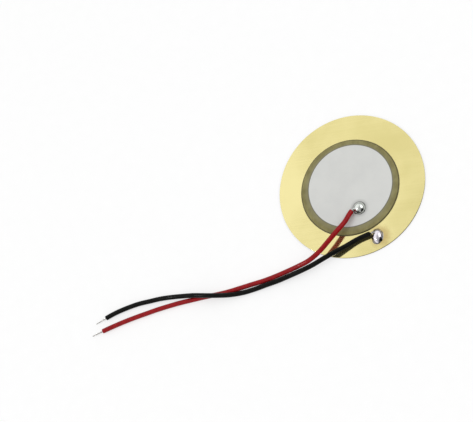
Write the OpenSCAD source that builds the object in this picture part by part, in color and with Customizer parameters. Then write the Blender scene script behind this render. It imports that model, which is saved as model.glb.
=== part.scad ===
// Piezo disc: a thin brass plate with a silvered ceramic disc bonded to it, and two leads
// soldered on, red to the ceramic's electrode and black to the plate.
// Millimetres. The origin is the middle of the plate's underside and +Z points out of the
// ceramic side. The plate lies on the table at z = 0 and the leads run off towards -X.

/* [Brass plate] */
// Diameter of the plate
plate_d = 35; // [33:0.5:45]
// Thickness of the plate
plate_t = 0.3; // [0.2:0.05:0.6]
// Radius that the blanking punch rolls onto the upper edge
edge_roll = 0.06; // [0.02:0.01:0.12]

/* [Ceramic disc] */
// Diameter of the ceramic
ceramic_d = 23.4; // [22:0.1:24.5]
// Thickness of the ceramic
ceramic_t = 0.21; // [0.15:0.01:0.5]
// Ground-off corner round both faces of the ceramic
ceramic_break = 0.02; // [0.01:0.005:0.05]
// How far the ceramic was laid off the plate's middle along X
ceramic_x = -0.4; // [-0.8:0.05:0.8]
// How far the ceramic was laid off the plate's middle along Y
ceramic_y = -0.35; // [-0.8:0.05:0.8]

/* [Silver electrodes] */
// Bare ceramic left outside the upper print, on average
print_margin = 1.5; // [0.8:0.1:2.5]
// Bare ceramic left outside the lower print
back_margin = 0.9; // [0.5:0.1:2.5]
// Thickness of each fired print
print_t = 0.01; // [0.01:0.005:0.03]
// How far the upper print missed the ceramic's middle along X
print_x = 0.25; // [-0.4:0.05:0.4]
// How far the upper print missed the ceramic's middle along Y
print_y = 0.25; // [-0.4:0.05:0.4]

/* [Bond] */
// Thickness of the glue under the ceramic
bond_t = 0.02; // [0.01:0.005:0.05]
// Width of the bead that squeezed out round the ceramic
bead_w = 0.16; // [0.05:0.01:0.4]
// Height of that bead on the ceramic's edge, above the glue
bead_h = 0.1; // [0.03:0.01:0.14]

/* [Solder on the ceramic] */
// Width of the rounded bead
dome_d = 3.0; // [2.4:0.1:3.4]
// Height of the bead above the electrode
dome_h = 1.15; // [0.8:0.05:1.4]
// Width of the thin wetted foot round the bead
dome_foot = 0.12; // [0.06:0.02:0.4]
// From the upper print's edge in to the bead's middle
dome_inset = 4.02; // [2.5:0.01:4.5]

/* [Solder on the plate] */
// Length of the oblong lump
lump_l = 3.5; // [3:0.1:3.9]
// Width of the oblong lump
lump_w = 2.45; // [2:0.05:3]
// Height of the lump above the plate
lump_h = 0.92; // [0.8:0.02:1.4]
// Width of the thin wetted foot round the lump
lump_foot = 0.15; // [0.05:0.05:0.4]
// Turn of the lump's length away from the radius
lump_turn = 27; // [0:1:45]

/* [Leads] */
// Outside diameter of the insulation
lead_d = 1.15; // [0.9:0.05:1.2]
// Diameter of the tinned stranded conductor
core_d = 0.4; // [0.3:0.05:0.6]
// Bare tinned length at each far end
tip_l = 3; // [1.5:0.5:6]
// From the rounded bead to the end of the red insulation
red_gap = 0.1; // [0.05:0.05:0.4]
// From the oblong lump to the middle of the black insulation's end
black_gap = 0.22; // [0.2:0.01:0.4]
// Length of black conductor laid over the lump and buried in it
black_strip = 1.5; // [1.3:0.1:1.8]
// Height of the red conductor's end above the electrode
red_lift = 0.45; // [0.4:0.05:0.6]
// Height of the black insulation's end above the plate
black_lift = 0.68; // [0.65:0.01:0.8]

/* [Hidden] */
$fn = 96;

plate_r = plate_d / 2;
ceramic_r = ceramic_d / 2;
print_r = ceramic_r - print_margin;
back_r = ceramic_r - back_margin;
lead_r = lead_d / 2;
core_r = core_d / 2;

// Heights of the stack, from the table up
glue_top = plate_t + bond_t;
ceramic_base = glue_top + print_t;
ceramic_top = ceramic_base + ceramic_t;
print_top = ceramic_top + print_t;

ceramic_at = [ceramic_x, ceramic_y];
print_at = ceramic_at + [print_x, print_y];

// The dome stands on the upper print, a little to the left of its lowest point. The lump
// stands on the bare brass, a little nearer the ceramic than the rim.
dome_side = -0.43;
lump_shift = 0.3;
dome_at = [print_at.x + dome_side, print_at.y - print_r + dome_inset, print_top];
lump_at = [0, lump_shift - (plate_r + ceramic_r - ceramic_at.y) / 2, plate_t];
// How far each crown leans from the middle of its foot
dome_lean = [0.05, 0.05];
lump_lean = [0.02, 0.12];

// Directions in which the conductors leave their solder, as headings about +Z and climbs
red_turn = 202;
red_climb = 11;
red_out = heading(red_turn, red_climb);
black_out = heading(169, 5);

// The red conductor crosses its dome to one side of the middle, at a share of the dome's
// radius, and ends inside it, a little short of halfway. The insulation stops just clear of
// the dome.
red_share = 0.45;
red_inside = 0.28;
dome_r = dome_d / 2;
red_side = red_share * dome_r;
red_reach = sqrt(pow(dome_r, 2) - pow(max(0, red_side - lead_r / 2), 2)) + red_gap;
red_root = dome_at + turned([red_inside, -red_side, red_lift], red_turn);
red_strip = (red_reach - red_inside) / cos(red_climb);
red_start = red_root + red_strip * red_out;

// The black insulation stops at the lump's long side, this share of the way up it, and the
// conductor climbs over the lump's shoulder into the solder.
black_share = 0.28;
black_start = lump_at
    + turned([-lump_w / 2 - black_gap, black_share * lump_l / 2, black_lift], -lump_turn);
black_root = black_start - black_strip * black_out;

// Routes of the two insulated stretches, from the solder out to the bare tips. Both leave
// the plate with a low rise, come down to the table and lie on it. The black one passes
// over the red one in a long low hump.
red_route = [
    red_start,
    [-4.9, -8.0, 1.8], [-7.5, -9.3, 2.4], [-10.3, -10.6, 2.7], [-13.2, -11.7, 2.7],
    [-16.2, -12.1, 2.3], [-19.1, -11.7, 1.6], [-22.1, -11.2, 1.1], [-25.1, -10.7, 0.8],
    [-28.1, -10.1, 0.6], [-31.0, -9.4, 0.6], [-34.0, -8.7, 0.6], [-36.9, -8.0, 0.6],
    [-39.8, -7.1, 0.6], [-42.7, -6.1, 0.6], [-45.6, -5.2, 0.6], [-48.5, -4.3, 0.6],
    [-51.5, -3.5, 0.6], [-54.4, -2.8, 0.6], [-57.4, -2.2, 0.6], [-60.5, -1.6, 0.6],
    [-63.5, -1.1, 0.6], [-66.5, -0.7, 0.6], [-69.5, -0.4, 0.6]
];
black_route = [
    black_start,
    [-4.2, -13.0, 1.0], [-7.2, -13.1, 1.2], [-10.2, -13.2, 1.7], [-13.2, -13.3, 1.9],
    [-16.2, -13.3, 1.8], [-19.2, -13.0, 1.6], [-22.2, -12.5, 1.2], [-25.1, -12.0, 0.9],
    [-28.0, -11.4, 0.8], [-30.9, -10.8, 0.6], [-33.8, -10.1, 0.7], [-36.6, -9.2, 1.2],
    [-39.4, -7.9, 1.7], [-42.1, -6.4, 1.9], [-44.7, -4.8, 1.7], [-47.3, -3.3, 1.1],
    [-50.0, -1.9, 0.7], [-52.8, -0.7, 0.6], [-55.6, 0.2, 0.6], [-58.5, 1.1, 0.6],
    [-61.5, 1.7, 0.6], [-64.5, 2.1, 0.6], [-67.5, 2.2, 0.6]
];
red_far = heading(176, 0);
black_far = heading(181, 0);

// Sides of a lead's cross-section, the first corner standing level
lead_sides = 8;
// Sides of the plate, glue, ceramic and prints, and of a bare tip
disc_sides = 192;
tip_sides = 48;
// Points round a piece of solder, and steps up its foot and its dome
solder_sides = 36;
foot_steps = 4;
dome_steps = 8;
// Contact angle of the wetted foot, slopes of the two flanks above it, and the angle up the
// dome at which it is closed with a small flat
wet_angle = 24;
dome_flank = 72;
lump_flank = 60;
crown_angle = 85;
// Solder drawn along the conductor: bare length left at the insulation, and its radii at
// the solder and at the far end
wick_gap = 0.12;
wick_near = core_r + 0.06;
wick_far = core_r + 0.03;

// Unit vector at an angle about +Z and a climb above level
function heading(turn, climb) =
    [cos(climb) * cos(turn), cos(climb) * sin(turn), sin(climb)];
function unit(v) = v / norm(v);
// A vector turned about +Z
function turned(v, turn) =
    [v.x * cos(turn) - v.y * sin(turn), v.x * sin(turn) + v.y * cos(turn), v.z];

// Direction of a route at one of its points. Its two ends have directions of their own.
function along(route, i, first, last) =
    i == 0 ? first : i == len(route) - 1 ? last : unit(route[i + 1] - route[i - 1]);

// Corners of the cross-section at a point, square to the direction there
function section(at, dir, r) =
    let (side = unit(cross([0, 0, 1], dir)), rise = cross(dir, side))
    [for (k = [0:lead_sides - 1])
        let (a = 360 * k / lead_sides) at + r * (cos(a) * side + sin(a) * rise)];

// Joins rings of equal length, flat at both ends, into one closed solid
module loft(rings) {
    n = len(rings[0]);
    last = len(rings) - 1;
    polyhedron(
        points = [for (ring = rings) for (p = ring) p],
        faces = concat(
            [[for (k = [0:n - 1]) k]],
            [for (j = [0:last - 1]) for (k = [0:n - 1])
                let (m = (k + 1) % n)
                each [[j * n + k, (j + 1) * n + k, (j + 1) * n + m],
                    [j * n + k, (j + 1) * n + m, j * n + m]]],
            [[for (k = [n - 1:-1:0]) last * n + k]]));
}

// A lead: one section at each point of its route
module lead(route, first, last) {
    loft([for (i = [0:len(route) - 1])
        section(route[i], along(route, i, first, last), lead_r)]);
}

// A straight round rod from a point, along a direction. It tapers where r_far is given.
module rod(from, dir, length, r, r_far = undef) {
    translate(from)
        rotate([0, acos(dir.z), atan2(dir.y, dir.x)])
            cylinder(h = length, r1 = r, r2 = is_undef(r_far) ? r : r_far);
}

// Half-profile of wetted solder, as [spread beyond the body, share of the body, height]:
// a hollow foot from the contact angle up to the flank's slope, then the dome
function solder_profile(foot, flank, h) =
    let (low = 90 - flank,
        arc = foot / (sin(flank) - sin(wet_angle)),
        foot_h = arc * (cos(wet_angle) - cos(flank)))
    concat(
        [for (i = [0:foot_steps - 1])
            let (a = wet_angle + (flank - wet_angle) * i / foot_steps)
            [arc * (sin(flank) - sin(a)), 1, arc * (cos(wet_angle) - cos(a))]],
        [for (i = [0:dome_steps - 1])
            let (a = low + (crown_angle - low) * i / (dome_steps - 1))
            [0, cos(a) / cos(low),
                foot_h + (h - foot_h) * (sin(a) - sin(low)) / (sin(crown_angle) - sin(low))]]);

// A piece of solder on z = 0: its body w wide along X and l long along Y. Its crown leans.
module solder(w, l, h, foot, flank, lean) {
    rings = [for (step = solder_profile(foot, flank, h))
        [for (k = [0:solder_sides - 1])
            let (a = 360 * k / solder_sides, shift = lean * pow(step.z / h, 2))
            [(w / 2 * step[1] + step[0]) * cos(a) + shift.x,
                (l / 2 * step[1] + step[0]) * sin(a) + shift.y,
                step.z]]];
    loft(rings);
}

// Solder drawn out along a conductor towards its insulation
module wick(root, out, strip) {
    rod(root, out, strip - wick_gap, wick_near, wick_far);
}

// Blanked plate: square below, with the punch's roll round the upper edge
module brass_plate() {
    color("#e3d28d")
        rotate_extrude($fn = disc_sides)
            polygon(concat(
                [[0, 0], [plate_r, 0]],
                [for (a = [0:15:90])
                    [plate_r - edge_roll * (1 - cos(a)), plate_t - edge_roll * (1 - sin(a))]],
                [[0, plate_t]]));
}

// Glue under the ceramic. It fills the margin round the lower print and leaves a bead
// outside, hollow like any wetted edge.
module bond_film() {
    color("#9a8f63")
        translate([ceramic_at.x, ceramic_at.y, plate_t])
            rotate_extrude($fn = disc_sides)
                polygon(concat(
                    [[0, 0], [ceramic_r + bead_w, 0]],
                    [for (a = [30:20:90])
                        [ceramic_r + bead_w * (1 - sin(a)), (bond_t + bead_h) * (1 - cos(a))]],
                    [[ceramic_r, bond_t + print_t], [back_r, bond_t + print_t],
                        [back_r, bond_t], [0, bond_t]]));
}

// Fired silver print, a plain thin disc
module silver_print(at, base, r) {
    color("#cfcec9")
        translate([at.x, at.y, base])
            cylinder(h = print_t, r = r, $fn = disc_sides);
}

module lower_electrode() {
    silver_print(ceramic_at, glue_top, back_r);
}

module upper_electrode() {
    silver_print(print_at, ceramic_top, print_r);
}

// Sintered disc with its corners ground off
module ceramic_disc() {
    color("#8b845c")
        translate([ceramic_at.x, ceramic_at.y, ceramic_base])
            rotate_extrude($fn = disc_sides)
                polygon([
                    [0, 0], [ceramic_r - ceramic_break, 0], [ceramic_r, ceramic_break],
                    [ceramic_r, ceramic_t - ceramic_break],
                    [ceramic_r - ceramic_break, ceramic_t], [0, ceramic_t]
                ]);
}

// Nearly round bead on the upper print, wetted a little way along the red conductor
module electrode_solder() {
    color("#c9cacc")
        difference() {
            union() {
                translate(dome_at)
                    solder(dome_d, dome_d, dome_h, dome_foot, dome_flank, dome_lean);
                wick(red_root, red_out, red_strip);
            }
            rod(red_root, red_out, red_strip, core_r);
        }
}

// Oblong lump on the bare brass, wetted along the black conductor
module plate_solder() {
    color("#c9cacc")
        difference() {
            union() {
                translate(lump_at)
                    rotate([0, 0, -lump_turn])
                        solder(lump_w, lump_l, lump_h, lump_foot, lump_flank, lump_lean);
                wick(black_root, black_out, black_strip);
            }
            rod(black_root, black_out, black_strip, core_r);
        }
}

// Bare conductors between the insulation and the solder
module red_conductor() {
    color("#b9babd") rod(red_root, red_out, red_strip, core_r);
}

module black_conductor() {
    color("#b9babd") rod(black_root, black_out, black_strip, core_r);
}

module red_lead() {
    color("#b4191e") lead(red_route, red_out, red_far);
}

module black_lead() {
    color("#17171a") lead(black_route, black_out, black_far);
}

// Bare tinned end of a conductor, round at its tip
module tip(from, dir) {
    color("#b9babd")
        translate(from)
            rotate([0, 90, atan2(dir.y, dir.x)])
                rotate_extrude($fn = tip_sides)
                    polygon(concat(
                        [[0, 0], [core_r, 0]],
                        [for (a = [0:15:90])
                            [core_r * cos(a), tip_l - core_r * (1 - sin(a))]]));
}

module red_tip() {
    tip(red_route[len(red_route) - 1], red_far);
}

module black_tip() {
    tip(black_route[len(black_route) - 1], black_far);
}

brass_plate();
bond_film();
lower_electrode();
ceramic_disc();
upper_electrode();
electrode_solder();
plate_solder();
red_conductor();
black_conductor();
red_lead();
black_lead();
red_tip();
black_tip();
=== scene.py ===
"""Looks of a piezo disc: a brass plate, a silvered ceramic and two soldered leads.

Sizes are in millimetres in the part's own frame, and the classes' angles are in degrees.
Meshes are written in metres.
"""

import logging
import math
from dataclasses import dataclass
from enum import Enum
from typing import Any, Optional, Sequence

import bmesh
import bpy
import numpy as np
from mathutils import Matrix, Vector


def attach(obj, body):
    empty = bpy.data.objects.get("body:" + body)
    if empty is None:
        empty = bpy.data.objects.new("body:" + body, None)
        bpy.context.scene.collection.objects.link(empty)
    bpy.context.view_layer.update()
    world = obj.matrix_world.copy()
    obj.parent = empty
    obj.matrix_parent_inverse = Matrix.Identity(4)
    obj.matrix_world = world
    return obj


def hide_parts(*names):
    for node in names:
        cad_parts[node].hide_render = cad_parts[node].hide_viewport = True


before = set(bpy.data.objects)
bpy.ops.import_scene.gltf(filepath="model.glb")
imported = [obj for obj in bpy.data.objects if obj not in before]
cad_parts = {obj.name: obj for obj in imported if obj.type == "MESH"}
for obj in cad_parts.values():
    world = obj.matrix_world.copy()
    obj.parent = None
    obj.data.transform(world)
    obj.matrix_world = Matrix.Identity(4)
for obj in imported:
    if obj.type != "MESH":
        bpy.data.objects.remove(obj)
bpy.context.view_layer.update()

LOG = logging.getLogger("piezo_disc")
Array = np.ndarray
Colour = tuple[float, float, float]
Point = tuple[float, float, float]
Span = tuple[float, float]
Profile = Sequence[tuple[float, float]]
Shell = tuple[Array, list[list[int]]]
Socket = bpy.types.NodeSocket
MM = 0.001
BODY = "root"

# Sizes that more than one class uses
PLATE_TOP = 0.3
CERAMIC_AT = (-0.4, -0.35)
CERAMIC_RADIUS = 11.7
PRINT_AT = (-0.15, -0.1)
PRINT_RADIUS = 10.2
PRINT_TOP = 0.55
# Nearly all of a noise lies in this span
NOISE_SPAN = (0.3, 0.7)


# ---------------------------------------------------------------- node helpers


class Graph:
    """Node tree with short calls for the nodes used here."""

    def __init__(self, tree: bpy.types.NodeTree) -> None:
        """Works on a tree.

        Args:
            tree: tree that takes the nodes.
        """
        self.tree = tree

    def feed(self, socket: Socket, value: Any) -> None:
        """Links a source to an input, or sets the input's own value.

        Args:
            socket: the input.
            value: value or source for it.
        """
        if isinstance(value, Socket):
            self.tree.links.new(value, socket)
        else:
            socket.default_value = value

    def add(
        self, kind: str, inputs: Optional[dict[Any, Any]] = None, **settings: Any
    ) -> bpy.types.Node:
        """Adds one node.

        Args:
            kind: the node's type name.
            inputs: value or source for each input, by name or number.
            settings: the node's own properties.

        Returns:
            The new node.
        """
        node = self.tree.nodes.new(kind)
        for key, value in settings.items():
            setattr(node, key, value)
        for key, value in (inputs or {}).items():
            self.feed(node.inputs[key], value)
        return node

    def place(
        self, stretch: Point = (1, 1, 1), turn: float = 0.0, shift: Point = (0, 0, 0)
    ) -> Socket:
        """Position on the piece in millimetres.

        Args:
            stretch: factor on each axis.
            turn: turn about Z in degrees.
            shift: move in millimetres, after the stretch.

        Returns:
            The position's socket.
        """
        at = self.add("ShaderNodeTexCoord").outputs["Object"]
        first = {"Vector": at, "Rotation": (0, 0, math.radians(turn)), "Scale": (1 / MM,) * 3}
        straight = self.add("ShaderNodeMapping", first).outputs[0]
        second = {"Vector": straight, "Scale": stretch, "Location": shift}
        return self.add("ShaderNodeMapping", second).outputs[0]

    def axis(self, at: Socket, name: str) -> Socket:
        """One of a position's or direction's three values, by its axis."""
        return self.add("ShaderNodeSeparateXYZ", {0: at}).outputs[name]

    def noise(self, at: Socket, scale: float, detail: float = 3, rough: float = 0.5) -> Socket:
        """Cloudy noise, around 0.5.

        Args:
            at: position socket.
            scale: features for each unit of the position.
            detail: octaves of finer noise.
            rough: weight of the finer octaves.

        Returns:
            The noise's socket.
        """
        return self.add(
            "ShaderNodeTexNoise",
            {"Vector": at, "Scale": scale, "Detail": detail, "Roughness": rough},
        ).outputs[0]

    def grade(
        self, value: Socket, low: float, high: float, start: float = 0.0, end: float = 1.0
    ) -> Socket:
        """Smoothly carries low..high of a value over to start..end.

        Args:
            value: source socket.
            low: value at which the result is start.
            high: value at which the result is end.
            start: first result.
            end: last result.

        Returns:
            The result's socket.
        """
        limits = {"From Min": low, "From Max": high, "To Min": start, "To Max": end}
        return self.add(
            "ShaderNodeMapRange", {"Value": value, **limits}, interpolation_type="SMOOTHSTEP"
        ).outputs[0]

    def maths(self, kind: str, a: Any, b: Any) -> Socket:
        """One sum of two values.

        Args:
            kind: the operation's name.
            a: first value or socket.
            b: second value or socket.

        Returns:
            The result's socket.
        """
        return self.add("ShaderNodeMath", {0: a, 1: b}, operation=kind).outputs[0]

    def plus(self, base: Socket, extra: Socket, weight: float) -> Socket:
        """Adds a weighted share of one value to another.

        Args:
            base: value that counts in full.
            extra: value that is added.
            weight: factor on the added value.

        Returns:
            The sum's socket.
        """
        return self.maths("ADD", base, self.maths("MULTIPLY", extra, weight))

    def blend(self, *parts: tuple[Socket, float]) -> Socket:
        """Adds up several values by weight.

        Args:
            parts: each value and its weight.

        Returns:
            The sum's socket.
        """
        total = self.maths("MULTIPLY", *parts[0])
        for value, weight in parts[1:]:
            total = self.plus(total, value, weight)
        return total

    def mix(self, share: Any, a: Any, b: Any) -> Socket:
        """Mixes two colours.

        Args:
            share: how much of b, 0 to 1.
            a: first colour or socket.
            b: second colour or socket.

        Returns:
            The mixed colour's socket.
        """
        inputs = {0: share, 6: rgba(a), 7: rgba(b)}
        return self.add("ShaderNodeMix", inputs, data_type="RGBA").outputs[2]

    def distance(self, at: Socket, centre: Point) -> Socket:
        """Distance of a position from a point."""
        inputs = {0: at, 1: centre}
        return self.add("ShaderNodeVectorMath", inputs, operation="DISTANCE").outputs["Value"]

    def distance_out(self, centre: tuple[float, float]) -> Socket:
        """Level distance from an upright axis through a point."""
        return self.distance(self.place(stretch=(1, 1, 0)), (*centre, 0.0))

    def bump(self, height: Socket, depth: float, under: Optional[Socket] = None) -> Socket:
        """Turns a height into a surface normal.

        Args:
            height: height socket, about 0 to 1.
            depth: real height in millimetres for a change of 1.
            under: normal to start from.

        Returns:
            The normal's socket.
        """
        inputs = {"Height": height, "Distance": depth * MM, "Strength": 1.0}
        if under is not None:
            inputs["Normal"] = under
        return self.add("ShaderNodeBump", inputs).outputs[0]


class MaterialGraph(Graph):
    """Node tree of one new material."""

    def __init__(self, name: str) -> None:
        """Starts the material.

        Args:
            name: name of the material.
        """
        self.material = bpy.data.materials.new(name)
        self.material.use_nodes = True
        super().__init__(self.material.node_tree)
        self.shader = self.tree.nodes["Principled BSDF"]

    def finish(self, **sockets: Any) -> bpy.types.Material:
        """Fills the shader's sockets.

        Args:
            sockets: value or source for each socket, with _ for a space in its name.

        Returns:
            The finished material.
        """
        for name, value in sockets.items():
            self.feed(self.shader.inputs[name.replace("_", " ")], value)
        return self.material


def rgba(value: Any) -> Any:
    """Adds alpha to a plain colour, and leaves a socket as it is."""
    return value if isinstance(value, Socket) else (*value, 1.0)


# ---------------------------------------------------------------- mesh helpers


def unit(vector: Sequence[float]) -> Array:
    """Vector of length 1 in the same direction."""
    array = np.asarray(vector, float)
    return array / np.linalg.norm(array)


def heading(turn: float, climb: float = 0.0) -> Array:
    """Direction at an angle about +Z and a climb above level, both in degrees."""
    turn, climb = math.radians(turn), math.radians(climb)
    return np.array(
        [math.cos(climb) * math.cos(turn), math.cos(climb) * math.sin(turn), math.sin(climb)]
    )


def around(sides: int) -> Array:
    """Evenly spaced angles once round a circle, in radians."""
    return np.linspace(0, 2 * np.pi, sides, endpoint=False)


def run_along(points: Array) -> Array:
    """Distance of each point from the first, along the line through them."""
    return np.append(0, np.cumsum(np.linalg.norm(np.diff(points, axis=0), axis=1)))


def sample(at: Any, run: Array, values: Array) -> Array:
    """Reads points or directions off a line.

    Args:
        at: distance or distances along the line.
        run: distance at which each of the values lies.
        values: the points or directions.

    Returns:
        The value at each distance.
    """
    return np.stack([np.interp(at, run, values[:, k]) for k in range(3)], axis=-1)


def new_piece(
    name: str,
    points: Array,
    faces: Sequence[Sequence[int]],
    materials: Sequence[bpy.types.Material],
    sharp: float = 40.0,
) -> bpy.types.Object:
    """Makes one smooth-shaded object.

    Args:
        name: name of the piece.
        points: corners in millimetres.
        faces: corner numbers of each face.
        materials: the piece's materials, the main one first.
        sharp: angle between faces, in degrees, above which an edge stays sharp.

    Returns:
        The new object.
    """
    mesh = bpy.data.meshes.new(name)
    mesh.from_pydata((np.asarray(points) * MM).tolist(), [], [list(f) for f in faces])
    mesh.validate()
    turn_outwards(mesh)
    mesh.shade_smooth()
    mesh.set_sharp_from_angle(angle=math.radians(sharp))
    for material in materials:
        mesh.materials.append(material)
    piece = bpy.data.objects.new(name, mesh)
    bpy.context.scene.collection.objects.link(piece)
    return piece


def stand_for(piece: bpy.types.Object, node: str) -> None:
    """Puts a piece in the place of a solid.

    Args:
        piece: the detailed piece.
        node: the solid that it replaces.
    """
    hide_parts(node)
    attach(piece, BODY)
    LOG.info("%s: %d faces", piece.name, len(piece.data.polygons))


def turn_outwards(mesh: bpy.types.Mesh) -> None:
    """Turns every face of a closed mesh to face outwards.

    Args:
        mesh: the mesh, which is changed.
    """
    work = bmesh.new()
    work.from_mesh(mesh)
    bmesh.ops.recalc_face_normals(work, faces=work.faces)
    work.to_mesh(mesh)
    work.free()


def join(parts: Sequence[Shell]) -> Shell:
    """Puts several shells into one.

    Args:
        parts: corners and faces of each shell.

    Returns:
        Corners and faces of them all.
    """
    points: list[Array] = []
    faces: list[list[int]] = []
    count = 0
    for corners, shell in parts:
        faces += [[count + i for i in face] for face in shell]
        points.append(corners)
        count += len(corners)
    return np.concatenate(points), faces


def skin(rings: Array) -> Shell:
    """Joins rings of equal length into one closed shell, with a point at each end.

    Args:
        rings: corners, as [ring, corner, 3].

    Returns:
        Corners and faces of the shell.
    """
    count, sides = rings.shape[:2]
    points = np.concatenate(
        [rings.reshape(-1, 3), [rings[0].mean(axis=0)], [rings[-1].mean(axis=0)]]
    )
    faces: list[list[int]] = []
    for k in range(sides):
        after = (k + 1) % sides
        for j in range(count - 1):
            faces.append(
                [j * sides + k, (j + 1) * sides + k, (j + 1) * sides + after, j * sides + after]
            )
        faces.append([count * sides, k, after])
        last = (count - 1) * sides
        faces.append([count * sides + 1, last + after, last + k])
    return points, faces


def tube(middle: Array, radius: Array, angles: Array, side: Array, up: Array) -> Shell:
    """Makes a closed tube whose sections all face the same way.

    Args:
        middle: the tube's centreline.
        radius: radius at each of its points.
        angles: angles of a section's corners.
        side: sideways direction of the sections.
        up: upward direction of the sections.

    Returns:
        Corners and faces of the tube.
    """
    section = np.cos(angles)[:, None] * side + np.sin(angles)[:, None] * up
    return skin(middle[:, None, :] + radius[:, None, None] * section[None, :, :])


@dataclass(frozen=True)
class Outline:
    """Slightly uneven outline of a round sheet.

    The seed picks it, the size is how far it strays from round, and the waves tell how
    many of each kind go round. The finer ones are weaker by the fade.
    """

    seed: int
    size: float
    waves: tuple[int, ...]
    fade: float = 0.05

    def extra(self, angle: Array) -> Array:
        """Works out how far the outline strays.

        Args:
            angle: angles round the sheet.

        Returns:
            Extra radius at each angle.
        """
        random = np.random.default_rng(self.seed)
        phases = random.uniform(0, 2 * np.pi, len(self.waves))
        pairs = zip(self.waves, phases)
        parts = [np.sin(n * angle + p) / (1 + self.fade * n) for n, p in pairs]
        return self.size * np.sum(parts, axis=0) / len(self.waves)


def corner_curve(
    corner: tuple[float, float], width: float, rise: float, steps: int, first: float = 0.0
) -> list[tuple[float, float]]:
    """Rounds a corner of a half-profile off, or fills it with a hollow.

    Args:
        corner: the corner's radius and height.
        width: how far from it the curve starts, level.
        rise: how far from it the curve ends, upright.
        steps: number of points.
        first: angle of the first point in degrees, where 0 is the level start.

    Returns:
        Radius and height of each point.
    """
    return [
        (corner[0] + width * (1 - math.sin(a)), corner[1] + rise * (1 - math.cos(a)))
        for a in np.linspace(math.radians(first), np.pi / 2, steps)
    ]


def turned(
    profile: Profile,
    sides: int,
    centre: tuple[float, float],
    outline: Optional[Outline] = None,
    focus: int = 8,
) -> Shell:
    """Turns a half-profile about an upright axis.

    Args:
        profile: radius and height of each ring, from one flat side round to the other.
        sides: corners of each ring.
        centre: the axis's X and Y.
        outline: the uneven outline, where it has one.
        focus: how strongly the outline keeps to the outermost rings.

    Returns:
        Corners and faces of the closed shell.
    """
    angle = around(sides)
    extra = np.zeros(sides) if outline is None else outline.extra(angle)
    most = max(radius for radius, _ in profile)
    rings = []
    for radius, height in profile:
        reach = radius + extra * (radius / most) ** focus
        x = centre[0] + reach * np.cos(angle)
        y = centre[1] + reach * np.sin(angle)
        rings.append(np.stack([x, y, np.full(sides, height)], axis=-1))
    return skin(np.array(rings))


def frames_along(path: Array, first: Array, last: Array) -> tuple[Array, Array, Array]:
    """Directions at each point of a path that never stands upright.

    Args:
        path: the points.
        first: direction at the first point.
        last: direction at the last point.

    Returns:
        Forward, sideways and upward unit vectors at each point.
    """
    forward = np.gradient(path, axis=0)
    forward[0], forward[-1] = first, last
    forward /= np.linalg.norm(forward, axis=1, keepdims=True)
    side = np.cross([0.0, 0.0, 1.0], forward)
    side /= np.linalg.norm(side, axis=1, keepdims=True)
    return forward, side, np.cross(forward, side)


def melted(points: Array, faces: list[list[int]], voxel: float, rounds: int) -> Shell:
    """Fuses overlapping shells into one skin and lets it flow smooth.

    Args:
        points: corners in millimetres.
        faces: faces of the overlapping shells.
        voxel: grain of the new skin in millimetres.
        rounds: rounds of smoothing.

    Returns:
        Corners and faces of the fused shell.
    """
    mesh = bpy.data.meshes.new("melt")
    mesh.from_pydata(points.tolist(), [], faces)
    turn_outwards(mesh)
    rough = bpy.data.objects.new("melt", mesh)
    bpy.context.scene.collection.objects.link(rough)
    remesh = rough.modifiers.new("fuse", "REMESH")
    remesh.mode = "VOXEL"
    remesh.voxel_size = voxel
    flow = rough.modifiers.new("flow", "SMOOTH")
    flow.factor = 0.5
    flow.iterations = rounds
    result = bpy.data.meshes.new_from_object(
        rough.evaluated_get(bpy.context.evaluated_depsgraph_get())
    )
    corners = np.empty(len(result.vertices) * 3)
    result.vertices.foreach_get("co", corners)
    shell = [list(polygon.vertices) for polygon in result.polygons]
    bpy.data.objects.remove(rough)
    bpy.data.meshes.remove(mesh)
    bpy.data.meshes.remove(result)
    return corners.reshape(-1, 3), shell


def cut_flat(points: Array, faces: list[list[int]], height: float) -> Shell:
    """Cuts off everything below a height and closes the shell with a flat face.

    Args:
        points: corners in millimetres.
        faces: faces of a closed shell.
        height: the cut's height.

    Returns:
        Corners and faces of what stands above the cut.
    """
    mesh = bpy.data.meshes.new("cut")
    mesh.from_pydata(points.tolist(), [], faces)
    work = bmesh.new()
    work.from_mesh(mesh)
    bmesh.ops.bisect_plane(
        work,
        geom=[*work.verts, *work.edges, *work.faces],
        plane_co=(0, 0, height),
        plane_no=(0, 0, 1),
        clear_inner=True,
    )
    rim = [edge for edge in work.edges if edge.is_boundary]
    bmesh.ops.holes_fill(work, edges=rim, sides=0)
    work.to_mesh(mesh)
    work.free()
    corners = np.array([vertex.co[:] for vertex in mesh.vertices])
    shell = [list(polygon.vertices) for polygon in mesh.polygons]
    bpy.data.meshes.remove(mesh)
    return corners, shell


# ---------------------------------------------------------------- finishes

# In the finishes, a cloud, grain, patch, ripple or speckle is a noise, given in features for
# each millimetre. A contrast is the span of a noise that goes from the first colour to the
# second, and rough is the roughness at both ends of a noise. A wander is how far a noise
# moves an outline, in millimetres, and a share is how much of a colour shows at most.


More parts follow.
